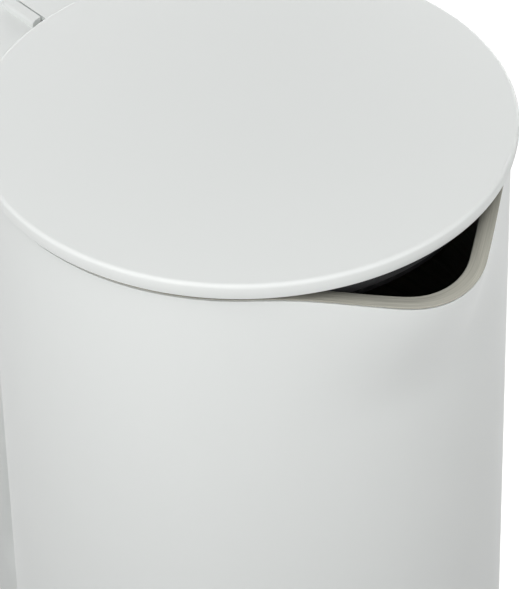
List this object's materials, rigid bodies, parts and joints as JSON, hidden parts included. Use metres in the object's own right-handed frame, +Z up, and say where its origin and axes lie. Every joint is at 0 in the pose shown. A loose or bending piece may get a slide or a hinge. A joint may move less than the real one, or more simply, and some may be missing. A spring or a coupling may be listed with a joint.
{
  "type": "jug kettle",
  "caption": "White cylindrical cordless jug kettle with a beaked steel pouring lip, a flat hinged lid, a loop handle with a switch paddle, and a round power base.",
  "frame": {"origin": "on the kettle's upright axis, on the surface that the power base stands on", "axes": "+Z up, +X towards the spout, -X towards the handle, +Y to the left seen from the handle's side looking at the spout"},
  "size_m": [0.1924, 0.1328, 0.2487],
  "materials": {
    "white_shell": "satin white, fine moulded grain",
    "black_plastic": "matt black moulding",
    "vessel_steel": "brushed along the rim",
    "heater_metal": "rolled plate",
    "element_steel": "drawn tube, heat darkened",
    "bimetal": "snap discs",
    "contact_brass": "plain",
    "screw_steel": "zinc plated",
    "pin_steel": "ground",
    "rubber": "soft matt",
    "lens": "clear amber light guide"
  },
  "bodies": {
    "power_base": {"base_cover": "white_shell", "base_plate": "black_plastic", "base_screws": "screw_steel", "base_foot": "rubber", "cord_gland": "rubber"},
    "connector": {"base_post": "black_plastic", "base_contacts": "contact_brass"},
    "kettle": {"outer_shell": "white_shell", "inner_vessel": "vessel_steel", "heater_plate": "heater_metal", "heating_element": "element_steel", "thermostat_control": "black_plastic", "bimetal_discs": "bimetal", "kettle_socket": "black_plastic", "socket_contacts": "contact_brass", "sole": "white_shell", "sole_screws": "screw_steel", "handle_shell": "white_shell", "grip_cover": "white_shell", "grip_screws": "screw_steel", "indicator_lens": "lens", "hinge_pin": "pin_steel", "switch_pin": "pin_steel"},
    "switch": {"switch_paddle": "black_plastic"},
    "lid": {"lid_cover": "white_shell", "lid_plug": "black_plastic", "lid_screws": "screw_steel", "lid_seal": "rubber"}
  },
  "joints": [
    {"name": "swivel", "type": "hinge", "parent": "power_base", "child": "connector", "pos_m": [0, 0, 0], "axis": [0, 0, 1], "continuous": true},
    {"name": "lift", "type": "slide", "parent": "connector", "child": "kettle", "axis": [0, 0, 1], "range_m": [0, 0.05]},
    {"name": "lid_hinge", "type": "hinge", "parent": "kettle", "child": "lid", "pos_m": [-0.0755, 0, 0.244], "axis": [0, -1, 0], "range_deg": [0, 85]},
    {"name": "switch_press", "type": "hinge", "parent": "kettle", "child": "switch", "pos_m": [-0.087, 0, 0.0209], "axis": [0, -1, 0], "range_deg": [0, 14]}
  ]
}
